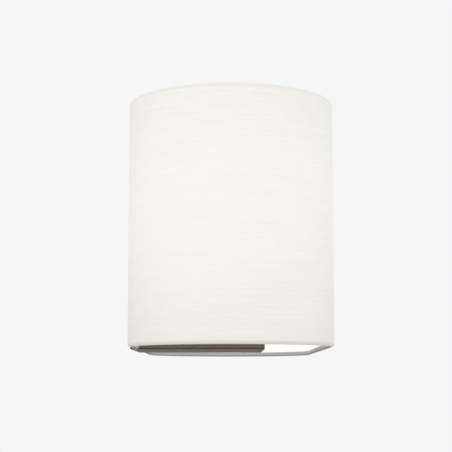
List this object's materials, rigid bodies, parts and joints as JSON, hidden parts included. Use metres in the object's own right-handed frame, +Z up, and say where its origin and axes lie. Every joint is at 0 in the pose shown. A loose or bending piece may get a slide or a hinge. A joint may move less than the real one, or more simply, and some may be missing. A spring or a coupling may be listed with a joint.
{
  "type": "wall lamp",
  "caption": "Wall lamp with an obround fabric shade that lifts off a flat steel wall bracket with small screw lampholders and round opal bulbs.",
  "frame": {"origin": "on the wall, midway between the two wall screws", "axes": "+Z up, +Y into the wall, +X along the wall; the lamp stands out of the wall towards -Y"},
  "size_m": [0.35, 0.137, 0.16],
  "materials": {
    "zinc_steel": "zinc plated",
    "black_rubber": "moulded",
    "bronze_paint": "satin dark bronze",
    "bronze_screw": "satin dark bronze",
    "white_moulding": "moulded",
    "holder_moulding": "moulded",
    "holder_core": "moulded",
    "brass": "turned",
    "brown_pvc": "extruded",
    "blue_pvc": "extruded",
    "green_pvc": "extruded",
    "slub_fabric": "woven slub",
    "white_lining": "satin sheet",
    "ring_wire": "white powder coat",
    "carrier_steel": "white powder coat",
    "opal_glass": "opal",
    "nickel_cap": "nickel plated",
    "black_glass": "glossy"
  },
  "bodies": {
    "bracket": {"wall_plate": "zinc_steel", "cable_grommet": "black_rubber", "bracket_body": "bronze_paint", "bottom_cover": "bronze_paint", "cover_screws": "bronze_screw", "side_screws": "bronze_screw", "terminal_block": "white_moulding", "terminal_barrels": "brass", "terminal_screws": "zinc_steel", "block_screw": "zinc_steel", "earth_screw": "brass", "earth_tag": "zinc_steel", "left_lampholder": "holder_moulding", "right_lampholder": "holder_moulding", "holder_cores": "holder_core", "contact_sleeves": "brass", "centre_contacts": "brass", "hollow_stems": "zinc_steel", "locknuts": "zinc_steel", "brown_leads": "brown_pvc", "blue_leads": "blue_pvc", "earth_lead": "green_pvc", "shade_stud": "zinc_steel", "locating_pin": "zinc_steel"},
    "shade": {"shade_fabric": "slub_fabric", "shade_lining": "white_lining", "top_ring": "ring_wire", "bottom_ring": "ring_wire", "top_edge_roll": "slub_fabric", "bottom_edge_roll": "slub_fabric", "shade_carrier": "carrier_steel", "stud_washer": "zinc_steel"},
    "nut": {"knurled_nut": "brass"},
    "left_bulb": {"left_bulb_glass": "opal_glass", "left_bulb_cap": "nickel_cap", "left_bulb_insulator": "black_glass"},
    "right_bulb": {"right_bulb_glass": "opal_glass", "right_bulb_cap": "nickel_cap", "right_bulb_insulator": "black_glass"}
  },
  "joints": [
    {"name": "shade_lift", "type": "slide", "parent": "bracket", "child": "shade", "axis": [0, 0, 1], "range_m": [0, 0.13]},
    {"name": "nut_turn", "type": "hinge", "parent": "shade", "child": "nut", "pos_m": [0, -0.028, 0.0197], "axis": [0, 0, 1], "range_deg": [0, 1440]},
    {"name": "left_bulb_turn", "type": "hinge", "parent": "bracket", "child": "left_bulb", "pos_m": [-0.033, -0.066, 0.05], "axis": [0, 0, 1], "range_deg": [0, 1080]},
    {"name": "right_bulb_turn", "type": "hinge", "parent": "bracket", "child": "right_bulb", "pos_m": [0.033, -0.066, 0.05], "axis": [0, 0, 1], "range_deg": [0, 1080]}
  ]
}
